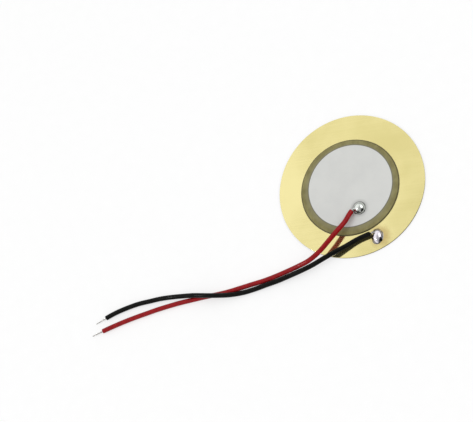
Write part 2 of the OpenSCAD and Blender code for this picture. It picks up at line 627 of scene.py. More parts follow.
@dataclass(frozen=True)
class Brass:
    """Rolled pale brass: fine rolling lines, a painted sheen that drifts lighter across the
    sheet, and a brown patch by the lump that is part heat tint and part painted shade.
    """

    pale: Colour = (0.93, 0.83, 0.40)
    deep: Colour = (0.77, 0.68, 0.29)
    # Brown of the patch by the lump: part heat tint, part painted shade beside the lump
    heat_tint_and_shade: Colour = (0.50, 0.34, 0.12)
    contrast: Span = (0.38, 0.62)
    metal: float = 0.94
    smooth: float = 0.09
    dull: float = 0.17
    line_dull: float = 0.03
    line_stretch: Point = (0.05, 4.0, 1.0)
    line_turn: float = 24.0
    line_depth: float = 0.00025
    line_span: Span = (0.35, 0.7)
    cloud: float = 0.07
    # Painted sheen: the colour grows lighter across the plate, as a reflection would, over this
    # distance each way from the middle
    sheen_drift: float = 17.0
    sheen_drift_turn: float = 163.0
    sheen_drift_tone: Span = (0.36, 0.64)
    handling: float = 0.2
    handling_shift: Point = (7.0, 3.0, 0.0)
    handling_span: Span = (0.45, 0.7)
    wave: float = 0.09
    wave_depth: float = 0.004
    # The brown patch of heat tint and painted shade: its middle, set off to one side of the
    # lump, and its radii
    tint_and_shade_at: Point = (0.5, -14.65, PLATE_TOP)
    tint_and_shade_radii: Span = (2.1, 4.2)
    tint_and_shade_share: float = 0.62
    tint_and_shade_cloud: float = 0.7
    tint_and_shade_wander: float = 1.8

    def tone(self, g: MaterialGraph, at: Socket, lines: Socket) -> Socket:
        """Mixes the cloudy tone, the drift of painted sheen and the rolling lines.

        Args:
            g: the material's nodes.
            at: position socket.
            lines: the rolling lines.

        Returns:
            The tone's socket.
        """
        # Painted sheen: lighter across the plate in one direction
        across = g.axis(g.place(turn=self.sheen_drift_turn), "X")
        sheen_drift = g.grade(across, -self.sheen_drift, self.sheen_drift, *self.sheen_drift_tone)
        return g.blend((g.noise(at, self.cloud), 0.5), (sheen_drift, 0.4), (lines, 0.1))

    def build(self) -> bpy.types.Material:
        """Makes the material.

        Returns:
            The finished material.
        """
        g = MaterialGraph("brass")
        at = g.place()
        lines = g.noise(g.place(stretch=self.line_stretch, turn=self.line_turn), 1.0, detail=4)
        tone = self.tone(g, at, lines)
        colour = g.mix(g.grade(tone, *self.contrast), self.deep, self.pale)
        # Brown patch by the lump: part heat tint, part painted shade beside it
        cloud = g.noise(at, self.tint_and_shade_cloud)
        near = g.plus(g.distance(at, self.tint_and_shade_at), cloud, self.tint_and_shade_wander)
        colour = g.mix(g.grade(near, *self.tint_and_shade_radii, self.tint_and_shade_share, 0.0), colour, self.heat_tint_and_shade)
        handled = g.noise(g.place(shift=self.handling_shift), self.handling)
        handled = g.grade(handled, *self.handling_span)
        lined = g.grade(lines, *self.line_span, self.smooth, self.smooth + self.line_dull)
        roughness = g.plus(lined, handled, self.dull - self.smooth - self.line_dull)
        waves = g.bump(g.noise(at, self.wave, detail=1), self.wave_depth)
        normal = g.bump(lines, self.line_depth, waves)
        return g.finish(
            Base_Color=colour, Metallic=self.metal, Roughness=roughness, Normal=normal
        )


@dataclass(frozen=True)
class BlankedEdge:
    """Sheared wall of the brass plate: fine upright tears, rougher than the face, and colours
    made far darker than brass as painted shade under the plate's edge.
    """

    # Both colours are painted shade: far darker than brass, for the shade under the plate's
    # edge
    colour: Colour = (0.14, 0.10, 0.035)
    shade_dark: Colour = (0.07, 0.05, 0.018)
    contrast: Span = (0.35, 0.65)
    rough: Span = (0.28, 0.5)
    tears: Point = (9.0, 9.0, 0.7)
    depth: float = 0.008

    def build(self) -> bpy.types.Material:
        """Makes the material.

        Returns:
            The finished material.
        """
        g = MaterialGraph("shaded_brass_edge")
        tears = g.noise(g.place(stretch=self.tears), 1.0, detail=4, rough=0.7)
        return g.finish(
            # Painted shade: the wall's colour stays far darker than brass
            Base_Color=g.mix(g.grade(tears, *self.contrast), self.shade_dark, self.colour),
            Metallic=1.0,
            Roughness=g.grade(tears, *NOISE_SPAN, *self.rough),
            Normal=g.bump(tears, self.depth),
        )


@dataclass(frozen=True)
class SilverPrint:
    """Fired silver paste: pale satin grain, faint screen mesh, and painted contact shade round
    the joint, whose wider halo also stands for a faint flux residue.
    """

    pale: Colour = (0.73, 0.735, 0.71)
    grey: Colour = (0.69, 0.695, 0.675)
    # Dark colour of the painted contact shade round the joint
    ring: Colour = (0.16, 0.16, 0.155)
    thin: Colour = (0.10, 0.095, 0.06)
    contrast: Span = (0.36, 0.62)
    rough: Span = (0.5, 0.62)
    cloud: float = 0.16
    grain: float = 14.0
    grain_depth: float = 0.004
    mesh: float = 2.4
    mesh_turn: float = 45.0
    mesh_wobble: float = 0.6
    mesh_depth: float = 0.0015
    # Painted contact shade round the joint: a narrow dark line just outside the bead's foot and
    # a wider, fainter halo
    shade_ring_at: Point = (-0.57, -6.2, PRINT_TOP)
    shade_ring_radius: float = 1.62
    shade_ring_wander: float = 0.35
    shade_line_width: Span = (0.05, 0.22)
    shade_line_share: float = 0.85
    shade_halo_width: float = 1.0
    shade_halo_share: float = 0.3
    edge: Span = (0.17, 0.05)
    edge_wander: float = 0.1
    edge_share: float = 0.9
    metal: float = 0.3
    gloss: float = 0.3

    def screen(self, g: MaterialGraph) -> Socket:
        """Makes the marks of the screen's crossing threads.

        Args:
            g: the material's nodes.

        Returns:
            The marks' height socket.
        """
        at = g.place(turn=self.mesh_turn)
        inputs = {"Vector": at, "Scale": self.mesh, "Distortion": self.mesh_wobble}
        across, along = (
            g.add("ShaderNodeTexWave", inputs, bands_direction=axis).outputs["Fac"]
            for axis in ("X", "Y")
        )
        return g.maths("MULTIPLY", across, along)

    def build(self) -> bpy.types.Material:
        """Makes the material.

        Returns:
            The finished material.
        """
        g = MaterialGraph("silver")
        at = g.place()
        cloud = g.noise(at, self.cloud, detail=4, rough=0.6)
        grain = g.noise(at, self.grain, rough=0.7)
        tone = g.blend((cloud, 0.7), (grain, 0.3))
        colour = g.mix(g.grade(tone, *self.contrast), self.grey, self.pale)
        # Painted contact shade round the joint; the wider halo also stands for a faint flux
        # residue
        away = g.plus(g.distance(at, self.shade_ring_at), cloud, self.shade_ring_wander)
        start, end = (self.shade_ring_radius + width for width in self.shade_line_width)
        line = g.grade(away, start, end, self.shade_line_share, 0.0)
        start, end = self.shade_ring_radius, self.shade_ring_radius + self.shade_halo_width
        shade_halo = g.grade(away, start, end, self.shade_halo_share, 0.0)
        colour = g.mix(g.maths("MAXIMUM", line, shade_halo), colour, self.ring)
        out = g.plus(g.distance_out(PRINT_AT), grain, self.edge_wander)
        inner, outer = (PRINT_RADIUS - width for width in self.edge)
        colour = g.mix(g.grade(out, inner, outer, 0.0, self.edge_share), colour, self.thin)
        return g.finish(
            Base_Color=colour,
            Metallic=self.metal,
            Roughness=g.grade(grain, *NOISE_SPAN, *self.rough),
            Specular_IOR_Level=self.gloss,
            Normal=g.bump(grain, self.grain_depth, g.bump(self.screen(g), self.mesh_depth)),
        )


@dataclass(frozen=True)
class Ceramic:
    """Bare fired ceramic: dull olive-brown, speckled, lapped, greyer by the print."""

    base: Colour = (0.185, 0.16, 0.05)
    light: Colour = (0.285, 0.255, 0.10)
    fumed: Colour = (0.27, 0.25, 0.15)
    rim: Colour = (0.06, 0.05, 0.015)
    contrast: Span = (0.4, 0.6)
    rough: Span = (0.5, 0.65)
    cloud: float = 0.5
    speckle: float = 11.0
    speckle_depth: float = 0.006
    lapping: Point = (0.9, 7.0, 1.0)
    lapping_turn: float = 118.0
    edge_wander: float = 0.2
    fumed_width: Span = (1.2, 0.5)
    fumed_share: float = 0.4
    rim_width: Span = (0.1, -0.05)
    rim_share: float = 0.7

    def build(self) -> bpy.types.Material:
        """Makes the material.

        Returns:
            The finished material.
        """
        g = MaterialGraph("ceramic")
        at = g.place()
        speckle = g.noise(at, self.speckle, detail=4, rough=0.7)
        lapped = g.noise(g.place(stretch=self.lapping, turn=self.lapping_turn), 1.0)
        tone = g.blend((g.noise(at, self.cloud), 0.4), (speckle, 0.4), (lapped, 0.2))
        colour = g.mix(g.grade(tone, *self.contrast), self.base, self.light)
        out = g.plus(g.distance_out(CERAMIC_AT), speckle, self.edge_wander)
        inner, outer = (CERAMIC_RADIUS - width for width in self.fumed_width)
        colour = g.mix(g.grade(out, inner, outer, self.fumed_share, 0.0), colour, self.fumed)
        inner, outer = (CERAMIC_RADIUS - width for width in self.rim_width)
        colour = g.mix(g.grade(out, inner, outer, 0.0, self.rim_share), colour, self.rim)
        return g.finish(
            Base_Color=colour,
            Roughness=g.grade(speckle, *NOISE_SPAN, *self.rough),
            Normal=g.bump(speckle, self.speckle_depth),
        )


@dataclass(frozen=True)
class Glue:
    """Squeezed-out anaerobic glue: brown, glossy, a little uneven."""

    base: Colour = (0.085, 0.07, 0.025)
    light: Colour = (0.17, 0.14, 0.055)
    contrast: Span = (0.35, 0.65)
    rough: Span = (0.22, 0.36)
    cloud: float = 1.3
    depth: float = 0.02

    def build(self) -> bpy.types.Material:
        """Makes the material.

        Returns:
            The finished material.
        """
        g = MaterialGraph("bond")
        cloud = g.noise(g.place(), self.cloud)
        return g.finish(
            Base_Color=g.mix(g.grade(cloud, *self.contrast), self.base, self.light),
            Roughness=g.grade(cloud, *NOISE_SPAN, *self.rough),
            Normal=g.bump(cloud, self.depth),
        )


@dataclass(frozen=True)
class Solder:
    """Bright solder: frosty in patches, painted shade and dark reflection low on its flank,
    and one painted dark reflection spot.

    The haze is the frost's extra roughness. The shaded toe is how far the painted shade at
    the foot reaches above the face, which lies at the height base. The wanders make both
    outlines uneven.
    """

    name: str
    bright: Colour
    frost: Colour
    haze: float
    base: float
    # Height above the face that the painted shade at the foot reaches
    shaded_toe: float
    # Where the painted dark reflection sits on the solder, and its radius
    dark_reflection_at: Point
    dark_reflection_radius: float
    # Colour of the painted shade and dark reflection low on the flank, by the face
    dull: Colour = (0.17, 0.175, 0.165)
    # Colour of the painted dark reflection
    dark_reflection: Colour = (0.02, 0.022, 0.02)
    polish: Span = (0.05, 0.1)
    # Start, wander and strength of the painted shade at the foot
    shaded_toe_start: float = 0.05
    shaded_toe_cloud: float = 2.0
    shaded_toe_wander: float = 0.3
    shaded_toe_share: float = 0.9
    # Softness, wander and strength of the painted dark reflection
    dark_reflection_soft: float = 0.1
    dark_reflection_cloud: float = 1.6
    dark_reflection_wander: float = 0.5
    dark_reflection_share: float = 0.9
    patch: float = 1.1
    patch_span: Span = (0.5, 0.68)
    patch_depth: float = 0.03
    fine: float = 9.0
    fine_depth: float = 0.0025

    def build(self) -> bpy.types.Material:
        """Makes the material.

        Returns:
            The finished material.
        """
        g = MaterialGraph(self.name)
        at = g.place()
        patch = g.noise(at, self.patch)
        fine = g.noise(at, self.fine, rough=0.6)
        frosty = g.grade(patch, *self.patch_span)
        colour = g.mix(frosty, self.bright, self.frost)
        # Painted shade and dark reflection low on the flank: darker towards the face it stands
        # on
        height = g.plus(g.axis(at, "Z"), g.noise(at, self.shaded_toe_cloud), -self.shaded_toe_wander)
        low = self.base - self.shaded_toe_wander / 2
        shaded_toe = g.grade(height, low + self.shaded_toe_start, low + self.shaded_toe, self.shaded_toe_share, 0.0)
        colour = g.mix(shaded_toe, colour, self.dull)
        # Painted dark reflection: one dark spot, placed where the solder shows a dark
        # reflection from the main view
        away = g.distance(at, self.dark_reflection_at)
        away = g.plus(away, g.noise(at, self.dark_reflection_cloud), self.dark_reflection_wander)
        rim = self.dark_reflection_radius + self.dark_reflection_wander / 2
        start, end = rim - self.dark_reflection_soft, rim + self.dark_reflection_soft
        dark_reflection = g.grade(away, start, end, self.dark_reflection_share, 0.0)
        colour = g.mix(dark_reflection, colour, self.dark_reflection)
        polish = g.grade(fine, *NOISE_SPAN, *self.polish)
        return g.finish(
            Base_Color=colour,
            Metallic=1.0,
            Roughness=g.plus(polish, frosty, self.haze),
            Normal=g.bump(fine, self.fine_depth, g.bump(patch, self.patch_depth)),
        )


@dataclass(frozen=True)
class TinnedWire:
    """Tinned copper strands: grey, brighter and smoother in patches."""

    bright: Colour = (0.66, 0.65, 0.63)
    dull: Colour = (0.42, 0.40, 0.37)
    contrast: Span = (0.38, 0.62)
    rough: Span = (0.34, 0.2)
    patch: float = 3.5
    depth: float = 0.008

    def build(self) -> bpy.types.Material:
        """Makes the material.

        Returns:
            The finished material.
        """
        g = MaterialGraph("tinned_wire")
        patch = g.noise(g.place(), self.patch, detail=4, rough=0.6)
        return g.finish(
            Base_Color=g.mix(g.grade(patch, *self.contrast), self.dull, self.bright),
            Metallic=1.0,
            Roughness=g.grade(patch, *NOISE_SPAN, *self.rough),
            Normal=g.bump(patch, self.depth),
        )


@dataclass(frozen=True)
class Dye:
    """Colour of an insulation, the shade in its thin patches and the level of its gloss."""

    base: Colour
    thin: Colour
    gloss: float


class Jacket(Enum):
    """The two leads' insulation."""

    RED = Dye((0.27, 0.003, 0.006), (0.33, 0.006, 0.009), 0.22)
    BLACK = Dye((0.003, 0.003, 0.0025), (0.007, 0.007, 0.006), 0.11)


@dataclass(frozen=True)
class Vinyl:
    """Extruded PVC insulation: glossy, with slow ripples and a fine grain."""

    jacket: Jacket
    contrast: Span = (0.35, 0.65)
    rough: Span = (0.14, 0.22)
    ripple: float = 0.7
    ripple_depth: float = 0.015
    grain: float = 6.0
    grain_depth: float = 0.002

    def build(self) -> bpy.types.Material:
        """Makes the material.

        Returns:
            The finished material.
        """
        g = MaterialGraph(f"{self.jacket.name.lower()}_insulation")
        dye = self.jacket.value
        at = g.place()
        ripple = g.noise(at, self.ripple, detail=2)
        grain = g.noise(at, self.grain)
        return g.finish(
            Base_Color=g.mix(g.grade(ripple, *self.contrast), dye.base, dye.thin),
            Roughness=g.grade(grain, *NOISE_SPAN, *self.rough),
            Specular_IOR_Level=dye.gloss,
            Normal=g.bump(grain, self.grain_depth, g.bump(ripple, self.ripple_depth)),
        )


# ---------------------------------------------------------------- camera, floor, light


@dataclass(frozen=True)
class Lamp:
    """Square soft lamp that points at the part: its direction, distance, side and watts."""

    name: str
    toward: Point
    distance: float
    size: float
    power: float

    def hang(self, target: Point) -> None:
        """Hangs the lamp.

        Args:
            target: point that it lights.
        """
        data = bpy.data.lights.new(self.name, "AREA")
        data.size, data.energy = self.size * MM, self.power
        lamp = bpy.data.objects.new(self.name, data)
        toward = unit(self.toward)
        lamp.location = (np.array(target) + self.distance * toward) * MM
        lamp.rotation_euler = Vector(toward).to_track_quat("Z", "Y").to_euler()
        bpy.context.scene.collection.objects.link(lamp)


@dataclass
class Studio:
    """Camera, pale floor and plain soft light.

    The sky is even for plain light and white to look at. In reflections it is dark towards
    the horizon, darkest low on the camera's side, and a little dim behind the camera.
    """

    azimuth: float = 22.4
    elevation: float = 60.0
    roll: float = 50.34
    target: Point = (-27.09, 9.61, 0.0)
    distance: float = 280.0
    lens: float = 89.0
    sensor: float = 36.0
    floor_radius: float = 900.0
    floor_drop: float = 0.02
    floor_sides: int = 64
    paper: tuple[Colour, Colour] = ((0.80, 0.80, 0.80), (0.82, 0.82, 0.82))
    paper_grain: float = 0.4
    paper_rough: float = 0.9
    paper_gloss: float = 0.1
    paper_share: float = 0.5
    paper_glow: float = 0.62
    sky_light: float = 0.74
    sky_low: Span = (0.03, 0.36)
    sky_behind: Span = (0.5, 0.95)
    sky_behind_level: float = 0.45
    sky_gap: Span = (0.5, 0.88)
    sky_gap_side: float = 0.1
    sky_dark: float = 0.02
    lamps: tuple[Lamp, ...] = (
        Lamp("key", toward=(-0.62, 0.0, 0.78), distance=520.0, size=50.0, power=0.28),
        Lamp("fill", toward=(0.75, -0.1, 0.65), distance=650.0, size=420.0, power=0.7),
    )

    def axes(self) -> tuple[Array, Array, Array]:
        """Finds how the camera stands.

        Returns:
            The camera's right, up and backward directions.
        """
        a, e, r = (math.radians(v) for v in (self.azimuth, self.elevation, self.roll))
        back = np.array([math.sin(a) * math.cos(e), -math.cos(a) * math.cos(e), math.sin(e)])
        right = unit(np.cross(-back, [0.0, 0.0, 1.0]))
        up = np.cross(right, -back)
        return (
            right * math.cos(r) - up * math.sin(r),
            right * math.sin(r) + up * math.cos(r),
            back,
        )

    def camera(self) -> None:
        """Places the camera and makes it the scene's."""
        right, up, back = self.axes()
        data = bpy.data.cameras.new("camera")
        data.lens = self.lens
        data.sensor_width = self.sensor
        data.sensor_fit = "HORIZONTAL"
        data.clip_start, data.clip_end = 0.01, 10.0
        camera = bpy.data.objects.new("camera", data)
        spot = (np.array(self.target) + self.distance * back) * MM
        matrix = Matrix.Identity(4)
        for column, vector in enumerate((right, up, back, spot)):
            matrix.col[column][:3] = vector
        camera.matrix_world = matrix
        bpy.context.scene.collection.objects.link(camera)
        bpy.context.scene.camera = camera

    def floor(self) -> None:
        """Lays the floor, white to the camera and in reflections, with soft shadows."""
        angle = around(self.floor_sides)
        ring = np.stack([np.cos(angle), np.sin(angle), np.zeros(self.floor_sides)], axis=-1)
        points = ring * self.floor_radius + [*self.target[:2], -self.floor_drop]
        g = MaterialGraph("floor_paper")
        paper = g.mix(g.grade(g.noise(g.place(), self.paper_grain), *NOISE_SPAN), *self.paper)
        g.finish(
            Base_Color=paper, Roughness=self.paper_rough, Specular_IOR_Level=self.paper_gloss
        )
        plain = g.shader.outputs[0]
        seen = self.seen_directly(g)
        glow = g.add("ShaderNodeEmission", {"Color": (1, 1, 1, 1), "Strength": self.paper_glow})
        dimmed = g.add("ShaderNodeMixShader", {0: self.paper_share, 2: plain})
        bright = g.add("ShaderNodeAddShader", {0: dimmed.outputs[0], 1: glow.outputs[0]})
        both = g.add("ShaderNodeMixShader", {0: seen, 1: plain, 2: bright.outputs[0]})
        g.feed(g.tree.nodes["Material Output"].inputs[0], both.outputs[0])
        mesh = bpy.data.meshes.new("floor")
        mesh.from_pydata((points * MM).tolist(), [], [list(range(self.floor_sides))])
        mesh.materials.append(g.material)
        floor = bpy.data.objects.new("floor", mesh)
        bpy.context.scene.collection.objects.link(floor)

    @staticmethod
    def seen_directly(g: Graph) -> Socket:
        """Tells what the camera, a reflection or glass shows from plain light.

        Args:
            g: nodes that take the test.

        Returns:
            Socket that is 1 for what is seen and 0 for plain light.
        """
        rays = g.add("ShaderNodeLightPath").outputs
        glossy = g.maths("MAXIMUM", rays["Is Glossy Ray"], rays["Is Transmission Ray"])
        return g.maths("MAXIMUM", rays["Is Camera Ray"], glossy)

    @staticmethod
    def toward(g: Graph, direction: Socket, goal: Sequence[float]) -> Socket:
        """Cosine of the angle between a direction socket and a fixed direction."""
        inputs = {0: direction, 1: tuple(unit(goal))}
        return g.add("ShaderNodeVectorMath", inputs, operation="DOT_PRODUCT").outputs["Value"]

    def mirrored(self, g: Graph) -> Socket:
        """Works out how bright each direction of the sky is in a reflection.

        Args:
            g: the sky's nodes.

        Returns:
            The brightness socket.
        """
        _, _, back = self.axes()
        direction = g.add("ShaderNodeTexCoord").outputs["Generated"]
        low = g.grade(g.axis(direction, "Z"), *self.sky_low, self.sky_dark, 1.0)
        behind = self.toward(g, direction, back)
        behind = g.grade(behind, *self.sky_behind, 1.0, self.sky_behind_level)
        near = self.toward(g, direction, (back[0] + self.sky_gap_side, back[1], 0.0))
        gap = g.grade(near, *self.sky_gap, 1.0, self.sky_dark)
        return g.maths("MULTIPLY", g.maths("MULTIPLY", low, behind), gap)

    def world(self) -> None:
        """Makes the sky."""
        world = bpy.data.worlds.new("studio")
        world.use_nodes = True
        bpy.context.scene.world = world
        g = Graph(world.node_tree)
        looked_at = g.add("ShaderNodeLightPath").outputs["Is Camera Ray"]
        shown = g.maths("MAXIMUM", self.mirrored(g), looked_at)
        strength = g.add(
            "ShaderNodeMix",
            {0: self.seen_directly(g), 2: self.sky_light, 3: shown},
            data_type="FLOAT",
        ).outputs[0]
        surface = world.node_tree.nodes["Background"]
        g.feed(surface.inputs["Color"], (1, 1, 1, 1))
        g.feed(surface.inputs["Strength"], strength)

    def build(self) -> None:
        """Sets up the camera, floor, sky and lamps."""
        self.camera()
        self.floor()
        self.world()
        for lamp in self.lamps:
            lamp.hang(self.target)
        bpy.context.scene.view_settings.view_transform = "Standard"


# ---------------------------------------------------------------- leads


@dataclass(frozen=True)
class Strands:
    """Seven twisted strands, one in the middle and six wound round it.

    They start as one round bundle, which holds for a short way. Where fan is given, they
    spread into a flat fan towards the end, and where arch is given, they rise over what
    they lie on. The swells are shares of a strand's plain radius, a little over 1, so that
    the strands press into each other.
    """

    radius: float
    pitch: float
    uneven: tuple[float, ...] = (0.0,) * 7
    fan: float = 0.0
    arch: float = 0.0
    hold: float = 0.4
    flatten: float = 0.6
    spread: float = 1.2
    middle_swell: float = 1.3
    outer_swell: float = 1.06
    end_swell: float = 0.55
    nose: float = 0.7
    sides: int = 12
    step: float = 0.08

    def shells(self, start: Array, direction: Array, length: float) -> list[Shell]:
        """Makes the strands.

        Args:
            start: where the bundle starts.
            direction: the bundle's direction.
            length: the bundle's length.

        Returns:
            A shell for each strand.
        """
        thin = self.radius / 3
        line = np.array([start, start + direction])
        _, side, up = (axis[0] for axis in frames_along(line, direction, direction))
        angles = around(self.sides)
        shells = []
        for index, more in enumerate(self.uneven):
            reach = length + more
            along = np.linspace(0, reach, max(8, round(reach / self.step)))
            along = np.append(along, reach + thin * self.nose)
            loose = np.clip((along - self.hold) / (length - self.hold), 0, 1)
            swell = self.outer_swell if index else self.middle_swell
            radius = np.append(np.ones(len(along) - 1), self.end_swell) * thin * swell
            twist = 2 * np.pi * along / self.pitch + np.pi / 3 * index
            wide = (2 * thin if index else 0.0) * (1 - self.flatten * loose)
            across = wide * np.cos(twist) + self.fan * loose**self.spread * (index - 3) / 3
            rise = wide * np.sin(twist) + self.arch * np.sin(np.pi * loose)
            middle = start + along[:, None] * direction
            middle = middle + across[:, None] * side + rise[:, None] * up
            shells.append(tube(middle, radius, angles, side, up))
        return shells


@dataclass
class Lead:
    """One insulated lead with the bare tinned strands at both of its ends.

    The hot end is the one by the solder. Its outline and the cut end's are given as
    distances from that end and shares of the insulation's radius, and plain is where the
    even rings start and stop. The strands reach a little way inside the insulation.
    """

    name: str
    jacket: Jacket
    route: list[Point]
    root: Point
    out: Array
    far: Array
    strip: float
    fan: float = 0.0
    arch: float = 0.0
    radius: float = 0.575
    core: float = 0.2
    tip: float = 3.0
    clearance: float = 1.18
    bore_depth: float = 0.5
    inside: float = 0.45
    short: float = 0.1
    hot_end: Profile = (
        (0.0, 0.62),
        (0.015, 0.80),
        (0.06, 0.93),
        (0.14, 1.0),
        (0.3, 1.035),
        (0.6, 1.03),
        (0.95, 1.0),
    )
    cut_end: Profile = ((0.07, 1.0), (0.02, 0.985), (0.0, 0.94))
    plain: Span = (1.2, 0.3)
    twist: float = 3.6
    tip_twist: float = 4.2
    tip_share: float = 0.97
    tip_uneven: tuple[float, ...] = (0.0, -0.03, 0.02, -0.08, -0.02, 0.03, -0.05)
    tip_voxel: float = 0.022
    step: float = 0.4
    fine_steps: int = 24
    sides: int = 32

    def start(self) -> Array:
        """Point where the insulation starts, near the solder."""
        return np.array(self.root) + self.strip * self.out

    def centres(self) -> Array:
        """Runs a smooth curve through the route.

        Returns:
            Evenly spaced points on the centreline.
        """
        knots = np.array([self.start(), *self.route])
        pull = np.zeros_like(knots)
        pull[1:-1] = (knots[2:] - knots[:-2]) / 2
        pull[0] = self.out * np.linalg.norm(knots[1] - knots[0])
        pull[-1] = self.far * np.linalg.norm(knots[-1] - knots[-2])
        t = np.linspace(0, 1, self.fine_steps, endpoint=False)[:, None]
        curve = [
            (2 * t**3 - 3 * t**2 + 1) * knots[i]
            + (t**3 - 2 * t**2 + t) * pull[i]
            + (3 * t**2 - 2 * t**3) * knots[i + 1]
            + (t**3 - t**2) * pull[i + 1]
            for i in range(len(knots) - 1)
        ]
        dense = np.concatenate([*curve, knots[-1:]])
        dense[:, 2] = np.maximum(dense[:, 2], self.radius)
        run = run_along(dense)
        even = np.linspace(0, run[-1], round(run[-1] / self.step) + 1)
        return sample(even, run, dense)

    def insulation(self, centres: Array) -> bpy.types.Object:
        """Makes the insulation: a tube with a swollen hot end, a cut end and two bores.

        Args:
            centres: the centreline.

        Returns:
            The piece.
        """
        run = run_along(centres)
        whole = run[-1]
        _, side, up = frames_along(centres, self.out, self.far)
        bore, depth = self.core * self.clearance, self.bore_depth
        outline = [(depth, 0.0), (depth, bore), (0.0, bore)]
        outline += [(s, share * self.radius) for s, share in self.hot_end]
        outline += [(s, self.radius) for s in run if self.plain[0] < s < whole - self.plain[1]]
        outline += [(whole - s, share * self.radius) for s, share in self.cut_end]
        outline += [(whole, bore), (whole - depth, bore), (whole - depth, 0.0)]
        angle = around(self.sides)[:, None]
        rings = []
        for s, radius in outline:
            at, across, rise = (sample(s, run, values) for values in (centres, side, up))
            ring = np.cos(angle) * across + np.sin(angle) * rise
            rings.append(at + max(radius, 0.01) * ring)
        points, faces = skin(np.array(rings))
        return new_piece(f"{self.name}_insulation", points, faces, [Vinyl(self.jacket).build()])

    def conductor(self, wire: bpy.types.Material) -> bpy.types.Object:
        """Makes the bare strands between the insulation and the solder.

        Args:
            wire: the strands' material.

        Returns:
            The piece.
        """
        start = self.start() + self.inside * self.out
        bundle = Strands(self.core, pitch=self.twist, fan=self.fan, arch=self.arch)
        shells = bundle.shells(start, -self.out, self.strip + self.inside - self.short)
        return new_piece(f"{self.name}_bare_strands", *join(shells), [wire])

    def tinned_tip(self, end: Array, wire: bpy.types.Material) -> bpy.types.Object:
        """Makes the twisted and dipped strands at the far end.

        Args:
            end: where the insulation ends.
            wire: the strands' material.

        Returns:
            The piece.
        """
        bundle = Strands(
            self.core * self.tip_share, pitch=self.tip_twist, uneven=self.tip_uneven
        )
        start = end - self.inside * self.far
        shells = bundle.shells(start, self.far, self.tip + self.inside - self.short)
        points, faces = melted(*join(shells), voxel=self.tip_voxel, rounds=3)
        return new_piece(f"{self.name}_tinned_tip", points, faces, [wire], sharp=60)

    def build(self, wire: bpy.types.Material) -> None:
        """Args:
            wire: material of the bare strands.
        """
        centres = self.centres()
        sleeve = self.insulation(centres)
        strand = self.conductor(wire)
        tip = self.tinned_tip(centres[-1], wire)
        colour = self.jacket.name.lower()
        stand_for(sleeve, f"{colour}_lead")
        stand_for(strand, f"{colour}_conductor")
        stand_for(tip, f"{colour}_tip")


# ---------------------------------------------------------------- plate, ceramic, prints


